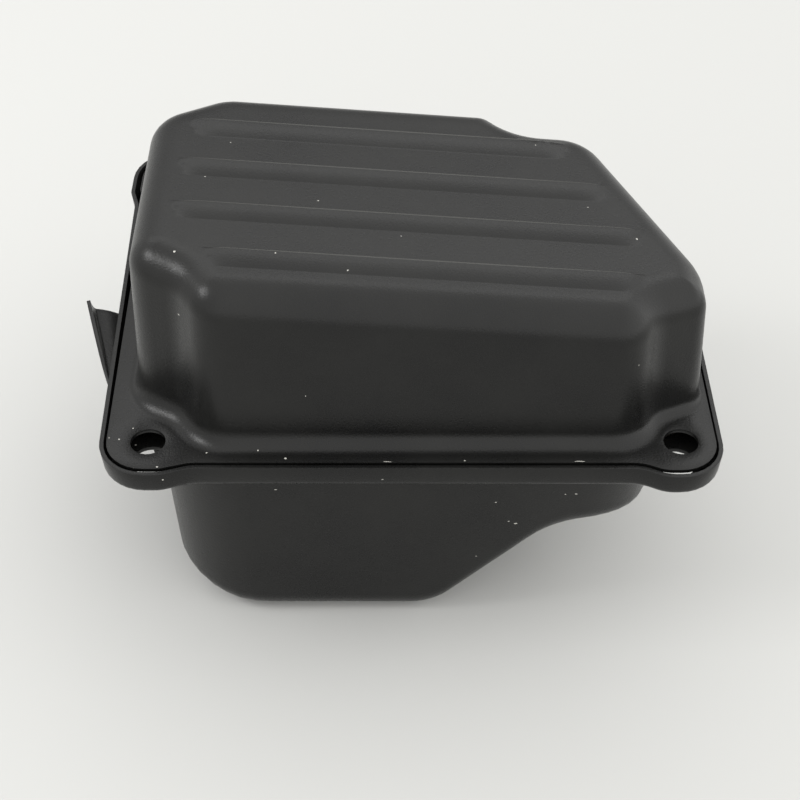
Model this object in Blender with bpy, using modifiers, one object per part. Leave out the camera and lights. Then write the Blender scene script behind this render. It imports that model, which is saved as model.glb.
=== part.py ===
"""Pressed-steel muffler box of a large petrol saw, lying on its engine-side port face.

Frame: +Z up through the cover, +X to the right, +Y away from the two front ears.
z = 0 is the flat port face.  Lengths below are in millimetres, MM turns them into metres.
"""

import math

import bmesh
import bpy
from mathutils import Matrix, Vector

MM = 0.001
COLLECTION = "engine_muffler"
CUTTERS = "engine_muffler_cutters"

# ---- driving dimensions -------------------------------------------------------------
SHEET = 0.8                 # thickness of both pressed shells
GAP = 0.3                   # clearance between pieces that touch
FLANGE_Z = 50.0             # top of the cover's flange above the port face
PLAN_CENTRE = (-5.3, 42.3)  # middle of the plan box, in the plan axes of the outlines below

# Outlines: (x, y, corner radius), counter-clockwise, x = 0 midway between the front ears' holes.
RIM = [(-58.95, -8.8, 9.0), (-47.3, -8.8, 8.0), (-41.5, -7.0, 8.0), (42.0, -7.1, 8.0),
       (46.5, -9.3, 8.0), (57.9, -9.3, 8.5), (57.35, 31.4, 16.0), (32.5, 80.0, 9.0),
       (19.5, 80.0, 6.0), (15.0, 74.5, 5.0), (-39.0, 74.5, 5.0), (-41.2, 93.9, 9.5),
       (-62.3, 93.9, 10.0), (-62.3, 78.1, 5.0), (-60.9, 73.6, 5.0)]
FLANGE = [(-57.75, -7.1, 7.6), (-47.4, -7.1, 6.8), (-41.75, -5.5, 9.2), (42.2, -5.5, 9.2),
          (46.4, -7.4, 6.8), (56.75, -7.4, 7.3), (56.1, 31.1, 14.8), (31.77, 78.8, 7.8),
          (20.07, 78.8, 4.8), (15.57, 73.3, 6.2), (-40.06, 73.3, 6.2), (-42.4, 92.0, 8.0),
          (-60.4, 92.0, 8.0), (-60.4, 79.0, 4.0), (-59.0, 74.5, 6.0)]
# Foot of the cover's dome on the flange, and the dome's wall just above the foot's fillet
FOOT = [(-55.7, 9.2, 11.5), (-46.6, 4.0, 7.0), (-40.9, -3.7, 11.0), (43.9, -3.6, 10.0),
        (47.6, 4.0, 6.0), (55.8, 8.9, 7.0), (55.8, 21.3, 17.0), (37.3, 62.6, 13.0),
        (22.5, 62.6, 8.6), (16.5, 68.6, 8.6), (-38.3, 68.6, 14.0), (-55.4, 58.6, 13.0)]
WALL = [(-53.2, 12.0, 8.3), (-44.0, 6.9, 8.2), (-38.5, -0.7, 8.3), (41.0, -0.5, 8.3),
        (45.3, 6.1, 7.2), (54.9, 10.6, 5.0), (54.9, 20.2, 16.0), (36.1, 60.9, 11.0),
        (21.6, 60.9, 10.2), (15.6, 66.8, 6.8), (-38.8, 66.8, 12.0), (-53.2, 57.4, 11.0)]
BODY = [(-51.0, -1.9, 18.1), (49.4, -1.9, 15.2), (47.6, 30.0, 14.0), (31.0, 62.0, 12.0),
        (-50.0, 66.0, 14.0)]
BAFFLE = [(-56.5, 11.5, 5.0), (-45.5, 5.6, 5.0), (-40.0, -5.2, 4.0), (42.5, -5.2, 4.0),
          (46.6, 4.6, 4.0), (55.6, 9.6, 5.0), (55.6, 27.0, 14.0), (37.8, 62.2, 8.0),
          (21.0, 62.2, 6.0), (14.5, 68.4, 6.0), (-56.5, 68.4, 14.0)]

# Front and back ears: (x, y, hole diameter)
FRONT_HOLES = [(-50.0, 0.0, 6.6), (50.0, 0.0, 6.6)]
BACK_HOLES = [(-51.5, 82.0, 5.5), (26.0, 71.2, 5.5)]
REAR_HOLES = [(-49.8, -0.6, 7.4), (49.5, -1.1, 7.4)]  # below the cover's front holes, wider

RIM_DEPTH = 5.3             # rim's height, outside
RIM_DRAFT = 0.3             # inward lean of the rim
RIM_BOTTOM_RADIUS = 1.6
COVER_TOP_RADIUS = 6.5
COVER_DRAFT = 1.1           # inward lean of the cover's wall, fillet to top
COVER_TOP_Z = 32.1          # cover's top above its flange at x = 0
COVER_SLOPE = 0.080         # the top falls this much per mm towards +X
RIB_ROWS = [(11.6, -38.5, 41.0), (24.9, -44.0, 42.0), (38.2, -44.0, 36.5), (51.5, -43.0, 30.0)]
RIB_WIDTH = 5.4
RIB_HEIGHT = 0.9

BODY_THROAT_RADIUS = 1.6
BODY_DRAFT = 1.6
BODY_FLOOR_RADIUS = 5.9
# Underside of the rear shell across X: (x, depth below the flange top, corner radius)
FLOOR = [(-60.0, 42.4, 0.0), (-33.4, 50.0, 37.0), (3.9, 50.0, 10.5), (31.0, 21.6, 19.0),
         (60.0, 30.0, 0.0)]

PORT = (-16.2, 31.7, 20.0, 25.0)      # inlet port: x, y, width, length
PORT_CORNER = 6.0
PORT_BOLT_REACH = 19.5                # port bolt holes, either side of the port's middle
PORT_BOLT_HOLE = 6.6
PORT_BOLT_ACCESS = 9.0                # holes in the baffle that a bolt's key passes through
DOUBLER = (13.8, 25.6, 2.0)           # half width, half length, thickness
DOUBLER_CORNER = 7.0
DIFFUSER_MARGIN = (1.5, 0.5)          # diffuser cap beyond the port, in x and y
DIFFUSER_HEIGHT = 15.0
DIFFUSER_FLANGE = 1.2
DIFFUSER_HOLES = (2, 3, 5.5, 7.5, 1.9)  # rows, columns, row pitch, column pitch, radius

OUTLET = (13.0, 41.0, 9.0, 19.0)      # hole in the left wall: y from, y to, depth from, depth to
LIP_FRONT_Y = 15.0                    # front end of the deflector
LIP_TIP = (-66.7, 46.6)               # deflector's back outer corner
LIP_RUN = 0.287                       # the lip comes in this much per mm towards the front
LIP_DEPTH = 6.9                       # lip below the flange's top
LIP_CURL = 2.4                        # the lip's edge rises this much at the back
WELD_DEPTHS = (21.0, 27.0)            # the deflector's welded foot on the left wall
WELD_CLEARANCE = GAP + 0.1

TUBES = [(14.0, 22.0), (32.0, 22.0)]  # x, y of the transfer tubes
TUBE_RADIUS = 6.0
TUBE_LIP = (1.6, 0.9)                 # rolled lip's width and thickness
TUBE_REACH = 13.0                     # below the baffle
BAFFLE_VENTS = (12.0, 38.0, 8.0, 7.0, 4.0)  # first x, first y, pitch in x, pitch in y, diameter
DUCT = (-48.8, 15.0, -37.8, 39.0)     # outlet duct's outside: x, y, x, y
DUCT_BOTTOM = -20.5
DUCT_FLANGE = (0.5, 6.0)              # flange inside the duct's sides in x, beyond them in y
DUCT_SLOT_MARGIN = 2.0                # baffle slot inside the duct's outside
DUCT_MOUTH_MARGIN = (1.5, 1.5, 2.0)   # mouth inside the duct's ends, bottom and top
RIVET_RADIUS = 1.2
RIVET_HEAD = 2.3
RIVET_TAIL = 2.0
RIVET_IN = (2.9, 3.2)                 # rivets inside the duct's corners in x, beyond them in y
SCREEN = (0.6, 0.5)                   # screen inside the duct's outside; its thickness
SCREEN_GRID = (6, 2, 3.36, 3.8)       # rows, columns, row pitch, column pitch of its windows
SCREEN_WINDOW = (2.8, 2.4)
SCREEN_SCREW = (-32.3, 27.0)
FRAME_TAB = (-27.3, 4.0)              # frame's screw tab: end x, half width

SCREW_M4 = (2.0, 3.5, 2.6, 8.0)       # shank radius, head radius, head height, length
SCREW_M5 = (2.5, 4.2, 4.0, 14.0)
WASHER_M5 = (2.8, 5.0, 1.0)           # hole radius, outer radius, thickness
NUT_M4 = (7.0, 3.2)                   # across flats, thickness
NUT_M5 = (8.0, 4.0)
SEAL_EDGES = (0.4, 2.6)               # seal's outer and inner edge inside the baffle's outline

CUT_PAST = 2.0                        # cutters run this far past the sheet that they cut

BLACK = (0.022, 0.022, 0.023)
STEEL = (0.42, 0.41, 0.40)
FIBRE = (0.30, 0.29, 0.27)

# Heights above the flange's top of faces that several pieces share
THROAT = -RIM_DEPTH - BODY_THROAT_RADIUS  # where the rear shell's walls begin
FLOOR_TOP = -FLANGE_Z + SHEET             # inner face of the rear shell's floor
BAFFLE_LOW = -RIM_DEPTH + SHEET + GAP
BAFFLE_TOP = BAFFLE_LOW + SHEET
SCREEN_LOW = BAFFLE_TOP + GAP
FRAME_LOW = SCREEN_LOW + SCREEN[1] + GAP


# ---- scene, materials and objects ---------------------------------------------------
def clear_scene():
    for obj in list(bpy.data.objects):
        bpy.data.objects.remove(obj, do_unlink=True)


def make_collection(name):
    collection = bpy.data.collections.new(name)
    bpy.context.scene.collection.children.link(collection)
    return collection


def make_material(name, colour, roughness, metallic):
    material = bpy.data.materials.new(name)
    material.use_nodes = True
    shader = material.node_tree.nodes["Principled BSDF"]
    shader.inputs["Base Color"].default_value = (*colour, 1.0)
    shader.inputs["Roughness"].default_value = roughness
    shader.inputs["Metallic"].default_value = metallic
    return material


def place(x, y, depth=0.0):
    """A point of the plan, depth mm below the flange's top, in the part's frame in metres."""
    return Vector((x - PLAN_CENTRE[0], y - PLAN_CENTRE[1], FLANGE_Z - depth)) * MM


def to_part_frame(bm):
    """Mesh made in plan millimetres (z = 0 at the flange's top) to the part's frame."""
    for vert in bm.verts:
        vert.co = place(vert.co.x, vert.co.y, -vert.co.z)


def add_object(name, bm, material=None, smooth_angle=40.0):
    mesh = bpy.data.meshes.new(name)
    bm.to_mesh(mesh)
    bm.free()
    mesh.shade_smooth()
    mesh.set_sharp_from_angle(angle=math.radians(smooth_angle))
    obj = bpy.data.objects.new(name, mesh)
    if material is None:
        cutters.objects.link(obj)
        obj.display_type = "WIRE"
        obj.hide_render = True
    else:
        mesh.materials.append(material)
        parts.objects.link(obj)
    return obj


def solidify(obj, thickness=SHEET):
    modifier = obj.modifiers.new("sheet", "SOLIDIFY")
    modifier.thickness = thickness * MM
    modifier.offset = -1.0
    modifier.use_even_offset = True


def boolean(obj, other, operation="DIFFERENCE"):
    modifier = obj.modifiers.new(other.name, "BOOLEAN")
    modifier.operation = operation
    modifier.object = other
    modifier.solver = "EXACT"


# ---- outlines -----------------------------------------------------------------------
def shrink(corners, inset):
    """Corner list moved inward by inset, with its radii following."""
    points = [Vector((x, y)) for x, y, _ in corners]
    count = len(points)
    runs = [(points[(i + 1) % count] - points[i]).normalized() for i in range(count)]
    normals = [Vector((-run.y, run.x)) for run in runs]
    moved = []
    for i in range(count):
        before = runs[i - 1]
        after = runs[i]
        turn = before.cross(after)
        shift = (normals[i - 1] + normals[i]) / (1.0 + normals[i - 1].dot(normals[i]))
        corner = points[i] + shift * inset
        radius = corners[i][2] - inset * math.copysign(1.0, turn)
        moved.append((corner.x, corner.y, max(radius, 0.3)))
    return moved


def rounded(corners, steps=4):
    """Points of a closed outline whose corners are arcs of the given radii."""
    points = [Vector((x, y)) for x, y, _ in corners]
    count = len(points)
    outline = []
    for i, (_, _, radius) in enumerate(corners):
        before = (points[i] - points[i - 1]).normalized()
        after = (points[(i + 1) % count] - points[i]).normalized()
        turn = math.atan2(before.cross(after), before.dot(after))
        tangent = radius * math.tan(abs(turn) / 2)
        side = math.copysign(1.0, turn)
        start = points[i] - before * tangent
        centre = start + Vector((-before.y, before.x)) * radius * side
        spoke = start - centre
        for k in range(steps + 1):
            angle = turn * k / steps
            rotated = Matrix.Rotation(angle, 2) @ spoke
            outline.append(centre + rotated)
    return outline


def rounded_box(x, y, half_x, half_y, radius):
    """Outline of a rectangle about (x, y) with four round corners."""
    return rounded([(x - half_x, y - half_y, radius), (x + half_x, y - half_y, radius),
                    (x + half_x, y + half_y, radius), (x - half_x, y + half_y, radius)])


def add_ring(bm, outline, z):
    return [bm.verts.new((point.x, point.y, z)) for point in outline]


def bridge(bm, lower, upper):
    count = len(lower)
    for i in range(count):
        j = (i + 1) % count
        bm.faces.new((lower[i], lower[j], upper[j], upper[i]))


def ring_edges(bm, ring):
    edges = []
    for i, vert in enumerate(ring):
        follower = ring[(i + 1) % len(ring)]
        edge = bm.edges.get((vert, follower)) or bm.edges.new((vert, follower))
        edges.append(edge)
    return edges


def fill_between(bm, outer, inner):
    """Flat faces between two closed rings at one height."""
    edges = ring_edges(bm, outer) + ring_edges(bm, inner)
    bmesh.ops.triangle_fill(bm, edges=edges, use_beauty=True, normal=(0, 0, 1))


def face_outward(bm, up):
    """Turns the whole surface so that its highest or lowest flat face looks out."""
    bmesh.ops.recalc_face_normals(bm, faces=bm.faces[:])
    key = max if up else min
    tip = key(bm.faces, key=lambda face: face.calc_center_median().z)
    if (tip.normal.z > 0) != up:
        bmesh.ops.reverse_faces(bm, faces=bm.faces[:])


def profile_depth(x):
    """Depth of the rear shell's underside below the flange, at x."""
    depth = FLOOR_LINE[-1][1]
    for (x0, d0), (x1, d1) in zip(FLOOR_LINE, FLOOR_LINE[1:]):
        if x0 <= x <= x1:
            depth = d0 + (d1 - d0) * (x - x0) / (x1 - x0)
    return depth


def rounded_line(corners, steps=4):
    """Open line with rounded corners, as (x, depth) pairs."""
    line = [(corners[0][0], corners[0][1])]
    for before, here, after in zip(corners, corners[1:], corners[2:]):
        centre = Vector(here[:2])
        run_in = (centre - Vector(before[:2])).normalized()
        run_out = (Vector(after[:2]) - centre).normalized()
        turn = math.atan2(run_in.cross(run_out), run_in.dot(run_out))
        tangent = here[2] * math.tan(abs(turn) / 2)
        start = centre - run_in * tangent
        spoke = Vector((run_in.y, -run_in.x)) * here[2] * math.copysign(1.0, turn)
        middle = start - spoke
        for k in range(steps + 1):
            point = middle + Matrix.Rotation(turn * k / steps, 2) @ spoke
            line.append((point.x, point.y))
    line.append((corners[-1][0], corners[-1][1]))
    return line


FLOOR_LINE = rounded_line(FLOOR)


# ---- simple solids ------------------------------------------------------------------
def box(name, low, high, material=None):
    bm = bmesh.new()
    bmesh.ops.create_cube(bm, size=1.0)
    for vert in bm.verts:
        for axis in range(3):
            vert.co[axis] = high[axis] if vert.co[axis] > 0 else low[axis]
    to_part_frame(bm)
    return add_object(name, bm, material)


def prism(name, outline, low, high, material=None):
    bm = bmesh.new()
    bottom = add_ring(bm, outline, low)
    top = add_ring(bm, outline, high)
    bm.faces.new(bottom[::-1])
    bm.faces.new(top)
    bridge(bm, bottom, top)
    to_part_frame(bm)
    return add_object(name, bm, material)


def cylinder_mesh(x, y, low, high, radius, sides):
    bm = bmesh.new()
    turn = Matrix.Translation((x, y, (low + high) / 2))
    bmesh.ops.create_cone(bm, cap_ends=True, segments=sides, radius1=radius, radius2=radius,
                          depth=high - low, matrix=turn)
    return bm


def cylinder(name, x, y, low, high, radius, sides=20, material=None):
    bm = cylinder_mesh(x, y, low, high, radius, sides)
    to_part_frame(bm)
    return add_object(name, bm, material)


def turned(name, x, y, profile, material, steps=24):
    """A turned piece about a vertical line: profile is (radius, z) from top to bottom."""
    bm = bmesh.new()
    verts = [bm.verts.new((radius * MM, 0.0, z * MM)) for radius, z in profile]
    for upper, lower in zip(verts, verts[1:]):
        bm.edges.new((upper, lower))
    obj = add_object(name, bm, material)
    obj.location = place(x, y)
    screw = obj.modifiers.new("turn", "SCREW")
    screw.steps = steps
    screw.render_steps = steps
    screw.use_merge_vertices = True
    screw.merge_threshold = 0.00001
    return obj


def pierce(obj, name, holes, low, high, sides=20):
    """Round holes through a sheet from low to high: holes are (x, y, diameter)."""
    for number, (x, y, diameter) in enumerate(holes):
        cutter = cylinder(f"{name}_{number}", x, y, low - CUT_PAST, high + CUT_PAST,
                          diameter / 2, sides)
        boolean(obj, cutter)


# ---- pressed shells -----------------------------------------------------------------
def quarter_arc(steps):
    """Angles in radians from 0 to a right angle."""
    return [math.pi / 2 * k / steps for k in range(steps + 1)]


def cover_shell(material):
    bm = bmesh.new()
    edge = add_ring(bm, rounded(FLANGE), 0.0)
    foot = rounded(FOOT)
    wall = rounded(WALL)
    rings = []
    for turn in quarter_arc(3):
        rings.append([bm.verts.new((*low.lerp(high, math.sin(turn)),
                                    (low - high).length * (1 - math.cos(turn))))
                      for low, high in zip(foot, wall)])
    wall_top = COVER_TOP_Z - COVER_TOP_RADIUS
    for turn in quarter_arc(3):
        inset = COVER_DRAFT + COVER_TOP_RADIUS * (1 - math.cos(turn))
        height = wall_top + COVER_TOP_RADIUS * math.sin(turn)
        rings.append(add_ring(bm, rounded(shrink(WALL, inset)), height))
    fill_between(bm, edge, rings[0])
    for lower, upper in zip(rings, rings[1:]):
        bridge(bm, lower, upper)
    bm.faces.new(rings[-1])
    for vert in bm.verts:
        reach = max(0.0, min(1.0, vert.co.z / wall_top))
        vert.co.z -= COVER_SLOPE * vert.co.x * reach
    face_outward(bm, up=True)
    to_part_frame(bm)
    shell = add_object("cover_shell", bm, material)
    solidify(shell)
    for number, (y, left, right) in enumerate(RIB_ROWS):
        boolean(shell, rib(f"rib_{number}", y, left, right), "UNION")
    pierce(shell, "cover_hole", FRONT_HOLES + BACK_HOLES, -SHEET, 0.0)
    return shell


def rib(name, y, left, right):
    """A raised round-ended bead that follows the cover's sloping top."""
    half = RIB_WIDTH / 2
    end_radius = half - 0.01
    corners = [(left, y - half, end_radius), (right, y - half, end_radius),
               (right, y + half, end_radius), (left, y + half, end_radius)]
    foot = rounded(corners)
    crest = rounded(shrink(corners, RIB_HEIGHT))
    bm = bmesh.new()
    rings = [add_ring(bm, foot, COVER_TOP_Z - SHEET / 2), add_ring(bm, foot, COVER_TOP_Z),
             add_ring(bm, crest, COVER_TOP_Z + RIB_HEIGHT)]
    bm.faces.new(rings[0][::-1])
    bm.faces.new(rings[-1])
    for lower, upper in zip(rings, rings[1:]):
        bridge(bm, lower, upper)
    for vert in bm.verts:
        vert.co.z -= COVER_SLOPE * vert.co.x
    to_part_frame(bm)
    return add_object(name, bm)


def rear_shell(material):
    bm = bmesh.new()
    rim_rings = [add_ring(bm, rounded(RIM), 0.0)]
    for turn in quarter_arc(2):
        inset = RIM_DRAFT + RIM_BOTTOM_RADIUS * (1 - math.cos(turn))
        height = -RIM_DEPTH + RIM_BOTTOM_RADIUS * (1 - math.sin(turn))
        rim_rings.append(add_ring(bm, rounded(shrink(RIM, inset)), height))
    for upper, lower in zip(rim_rings, rim_rings[1:]):
        bridge(bm, upper, lower)
    body_rings = []
    for turn in quarter_arc(2):
        inset = -BODY_THROAT_RADIUS * (1 - math.sin(turn))
        height = -RIM_DEPTH - BODY_THROAT_RADIUS * (1 - math.cos(turn))
        body_rings.append(add_ring(bm, rounded(shrink(BODY, inset)), height))
    wall_foot = -FLANGE_Z + BODY_FLOOR_RADIUS
    for turn in quarter_arc(3):
        inset = BODY_DRAFT + BODY_FLOOR_RADIUS * (1 - math.cos(turn))
        height = wall_foot - BODY_FLOOR_RADIUS * math.sin(turn)
        body_rings.append(add_ring(bm, rounded(shrink(BODY, inset)), height))
    for upper, lower in zip(body_rings, body_rings[1:]):
        bridge(bm, upper, lower)
    fill_between(bm, rim_rings[-1], body_rings[0])
    bm.faces.new(body_rings[-1])
    slice_body(bm, [x for x, _ in FLOOR_LINE[1:-1]])
    for vert in bm.verts:
        reach = max(0.0, min(1.0, (THROAT - vert.co.z) / (THROAT - wall_foot)))
        vert.co.z += reach * (FLANGE_Z - profile_depth(vert.co.x))
    face_outward(bm, up=False)
    to_part_frame(bm)
    shell = add_object("rear_shell", bm, material)
    solidify(shell)
    pierce(shell, "rear_hole", REAR_HOLES + BACK_HOLES, -RIM_DEPTH, -RIM_DEPTH + SHEET)
    port_cutters(shell, "rear_port", -FLANGE_Z, FLOOR_TOP)
    y0, y1, d0, d1 = OUTLET
    wall = BODY[0][0]
    boolean(shell, box("outlet_cut", (wall - CUT_PAST, y0, -d1),
                       (wall + BODY_DRAFT + SHEET + CUT_PAST, y1, -d0)))
    return shell


def slice_body(bm, x_values):
    """Cuts the rear shell's walls and floor with planes across X."""
    for x in x_values:
        faces = [face for face in bm.faces
                 if max(vert.co.z for vert in face.verts) < THROAT + 0.001]
        edges = {edge for face in faces for edge in face.edges}
        verts = {vert for face in faces for vert in face.verts}
        bmesh.ops.bisect_plane(bm, geom=[*verts, *edges, *faces], dist=0.0005,
                               plane_co=(x, 0, 0), plane_no=(1, 0, 0))


def port_cutters(obj, name, low, high):
    """The port's mouth and its two bolt holes, cut through a sheet from low to high."""
    x, y, width, length = PORT
    mouth = rounded_box(x, y, width / 2, length / 2, PORT_CORNER)
    boolean(obj, prism(f"{name}_mouth", mouth, low - CUT_PAST, high + CUT_PAST))
    bolts = [(x, y + side * PORT_BOLT_REACH, PORT_BOLT_HOLE) for side in (-1, 1)]
    pierce(obj, f"{name}_bolt", bolts, low, high)


def left_wall_x(depth):
    """Outer face of the rear shell's left wall at a depth below the flange."""
    wall = BODY[0][0]
    foot = profile_depth(wall) - BODY_FLOOR_RADIUS
    return wall + BODY_DRAFT * (depth + THROAT) / (foot + THROAT)


def lip_section(share):
    """Section of the deflector, share of the way from its front to its back end."""
    y = LIP_FRONT_Y + (LIP_TIP[1] - LIP_FRONT_Y) * share
    lip = Vector((LIP_TIP[0] + LIP_RUN * (LIP_TIP[1] - y), -LIP_DEPTH))
    root, weld = [Vector((left_wall_x(depth) - WELD_CLEARANCE, -depth)) for depth in WELD_DEPTHS]
    bend_in = root + Vector((-2.0, 6.0))
    bend_out = lip + Vector((7.0, -0.6))
    section = [weld, root]
    for t in (0.25, 0.5, 0.75, 1.0):
        s = 1 - t
        section.append(root * s ** 3 + bend_in * 3 * s * s * t + bend_out * 3 * s * t * t
                       + lip * t ** 3)
    curl = LIP_CURL * share ** 2
    section.append(lip + Vector((-0.7, 0.35 * curl)))
    section.append(lip + Vector((-1.0, curl)))
    return [(point.x, y, point.y) for point in section]


def outlet_deflector(material):
    """Curved chute under the left flange; its lip runs out and curls up towards the back."""
    stations = 6
    bm = bmesh.new()
    rows = []
    for k in range(stations):
        rows.append([bm.verts.new(point) for point in lip_section(k / (stations - 1))])
    for near, far in zip(rows, rows[1:]):
        for i in range(len(near) - 1):
            bm.faces.new((near[i], near[i + 1], far[i + 1], far[i]))
    bmesh.ops.recalc_face_normals(bm, faces=bm.faces[:])
    if sum(face.normal.z for face in bm.faces) < 0:
        bmesh.ops.reverse_faces(bm, faces=bm.faces[:])
    to_part_frame(bm)
    chute = add_object("outlet_deflector", bm, material)
    solidify(chute)
    return chute


# ---- inside pieces ------------------------------------------------------------------
def port_doubler(material):
    """Thick plate on the floor round the port, which the port's bolts clamp."""
    half_x, half_y, thickness = DOUBLER
    outline = rounded_box(PORT[0], PORT[1], half_x, half_y, DOUBLER_CORNER)
    low = FLOOR_TOP + GAP
    plate = prism("port_doubler", outline, low, low + thickness, material)
    port_cutters(plate, "doubler_port", low, low + thickness)
    return plate


def inlet_diffuser(material):
    """Perforated cap that spreads the gas as it comes in through the port."""
    x, y, width, length = PORT
    half_x = width / 2 + DIFFUSER_MARGIN[0]
    half_y = length / 2 + DIFFUSER_MARGIN[1]
    corners = [(x - half_x, y - half_y, 3.0), (x + half_x, y - half_y, 3.0),
               (x + half_x, y + half_y, 3.0), (x - half_x, y + half_y, 3.0)]
    base = FLOOR_TOP + GAP + DOUBLER[2] + GAP + SHEET
    top = base + DIFFUSER_HEIGHT
    bm = bmesh.new()
    steps = [(-DIFFUSER_FLANGE, base), (0.0, base), (0.0, top - 1.5), (0.5, top - 0.5), (1.5, top)]
    rings = [add_ring(bm, rounded(shrink(corners, inset)), z) for inset, z in steps]
    for lower, upper in zip(rings, rings[1:]):
        bridge(bm, lower, upper)
    bm.faces.new(rings[-1])
    face_outward(bm, up=True)
    to_part_frame(bm)
    cap = add_object("inlet_diffuser", bm, material)
    solidify(cap)
    rows, columns, row_pitch, column_pitch, radius = DIFFUSER_HOLES
    for row in range(rows):
        for column in range(columns):
            z = base + 4.5 + row * row_pitch
            across = y + (column - (columns - 1) / 2) * column_pitch
            hole = cylinder_mesh(0.0, 0.0, -width, width, radius, 8)
            aim = Matrix.Translation((x, across, z)) @ Matrix.Rotation(math.pi / 2, 4, "Y")
            hole.transform(aim)
            to_part_frame(hole)
            boolean(cap, add_object(f"diffuser_hole_{row}_{column}", hole))
    return cap


def duct_rivet_places():
    x0, y0, x1, y1 = DUCT
    dx, dy = RIVET_IN
    return [(x0 + dx, y0 - dy), (x1 - dx, y0 - dy), (x0 + dx, y1 + dy), (x1 - dx, y1 + dy)]


def baffle_plate(material):
    plate = prism("baffle_plate", rounded(BAFFLE), BAFFLE_LOW, BAFFLE_TOP, material)
    first_x, first_y, pitch_x, pitch_y, vent = BAFFLE_VENTS
    holes = [(x, y, 2 * (TUBE_RADIUS + GAP)) for x, y in TUBES]
    holes += [(PORT[0], PORT[1] + side * PORT_BOLT_REACH, PORT_BOLT_ACCESS) for side in (-1, 1)]
    holes += [(x, y, 2 * (RIVET_RADIUS + GAP)) for x, y in duct_rivet_places()]
    holes += [(first_x + pitch_x * column, first_y + pitch_y * row, vent)
              for row in range(3) for column in range(3)]
    holes.append((*SCREEN_SCREW, 2 * (SCREW_M4[0] + GAP)))
    pierce(plate, "baffle_hole", holes, BAFFLE_LOW, BAFFLE_TOP, sides=12)
    x0, y0, x1, y1 = DUCT
    margin = DUCT_SLOT_MARGIN
    boolean(plate, box("baffle_slot", (x0 + margin, y0 + margin, BAFFLE_LOW - CUT_PAST),
                       (x1 - margin, y1 - margin, BAFFLE_TOP + CUT_PAST)))
    return plate


def transfer_tube(name, x, y, material):
    """Short tube through the baffle with a rolled-out upper lip."""
    lip_low = BAFFLE_TOP + GAP
    lip_top = lip_low + TUBE_LIP[1]
    lip_edge = TUBE_RADIUS + TUBE_LIP[0]
    foot = BAFFLE_LOW - TUBE_REACH
    inner = TUBE_RADIUS - SHEET
    profile = [(inner, lip_top), (lip_edge, lip_top), (lip_edge, lip_low), (TUBE_RADIUS, lip_low),
               (TUBE_RADIUS, foot), (inner, foot), (inner, lip_top)]
    return turned(name, x, y, profile, material, steps=20)


def outlet_duct(material):
    """Sheet box under the baffle that leads the front chamber's gas to the left wall."""
    x0, y0, x1, y1 = DUCT
    top = BAFFLE_LOW - GAP
    flange_in, flange_out = DUCT_FLANGE
    ends, low, high = DUCT_MOUTH_MARGIN
    duct = box("outlet_duct", (x0, y0, DUCT_BOTTOM), (x1, y1, top), material)
    flange = box("duct_flange", (x0 + flange_in, y0 - flange_out, top - SHEET),
                 (x1, y1 + flange_out, top))
    inside = box("duct_inside", (x0 + SHEET, y0 + SHEET, DUCT_BOTTOM + SHEET),
                 (x1 - SHEET, y1 - SHEET, top + CUT_PAST))
    mouth = box("duct_mouth", (x0 - CUT_PAST, y0 + ends, DUCT_BOTTOM + low),
                (x0 + CUT_PAST, y1 - ends, top - high))
    boolean(duct, flange, "UNION")
    boolean(duct, inside)
    boolean(duct, mouth)
    holes = [(x, y, 2 * (RIVET_RADIUS + GAP)) for x, y in duct_rivet_places()]
    pierce(duct, "duct_rivet_hole", holes, top - SHEET, top, sides=12)
    return duct


def duct_rivet(name, x, y, material):
    """Round-headed rivet through the baffle and the duct's flange."""
    head_low = BAFFLE_TOP + GAP
    tail_top = BAFFLE_LOW - GAP - SHEET - GAP
    tail_low = tail_top - 0.9
    profile = [(0.0, head_low + 1.2), (1.0, head_low + 1.1), (1.9, head_low + 0.7),
               (RIVET_HEAD, head_low), (RIVET_RADIUS, head_low), (RIVET_RADIUS, tail_top),
               (RIVET_TAIL, tail_top), (RIVET_TAIL, tail_low), (0.0, tail_low)]
    return turned(name, x, y, profile, material, steps=12)


def spark_screen(material):
    """Mesh panel over the duct's slot."""
    x0, y0, x1, y1 = DUCT
    margin, thickness = SCREEN
    top = SCREEN_LOW + thickness
    panel = box("spark_screen", (x0 + margin, y0 + margin, SCREEN_LOW),
                (x1 - margin, y1 - margin, top), material)
    rows, columns, row_pitch, column_pitch = SCREEN_GRID
    half_x, half_y = SCREEN_WINDOW[0] / 2, SCREEN_WINDOW[1] / 2
    for row in range(rows):
        for column in range(columns):
            x = (x0 + x1) / 2 + (column - (columns - 1) / 2) * column_pitch
            y = (y0 + y1) / 2 + (row - (rows - 1) / 2) * row_pitch
            boolean(panel, box(f"screen_cut_{row}_{column}",
                               (x - half_x, y - half_y, SCREEN_LOW - CUT_PAST),
                               (x + half_x, y + half_y, top + CUT_PAST)))
    return panel


def screen_frame(material):
    """Pressed frame that clamps the mesh, with one tab for its screw."""
    x0, y0, x1, y1 = DUCT
    tab_x, tab_half = FRAME_TAB
    middle = SCREEN_SCREW[1]
    top = FRAME_LOW + SHEET
    outline = rounded([(x0, y0, 2.0), (x1, y0, 2.0), (tab_x, middle - tab_half, 3.5),
                       (tab_x, middle + tab_half, 3.5), (x1, y1, 2.0), (x0, y1, 2.0)])
    plate = prism("screen_frame", outline, FRAME_LOW, top, material)
    margin = DUCT_SLOT_MARGIN
    boolean(plate, box("frame_window", (x0 + margin, y0 + margin, FRAME_LOW - CUT_PAST),
                       (x1 - margin, y1 - margin, top + CUT_PAST)))
    pierce(plate, "frame_hole", [(*SCREEN_SCREW, 2 * (SCREW_M4[0] + GAP))], FRAME_LOW, top, sides=14)
    return plate


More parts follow.
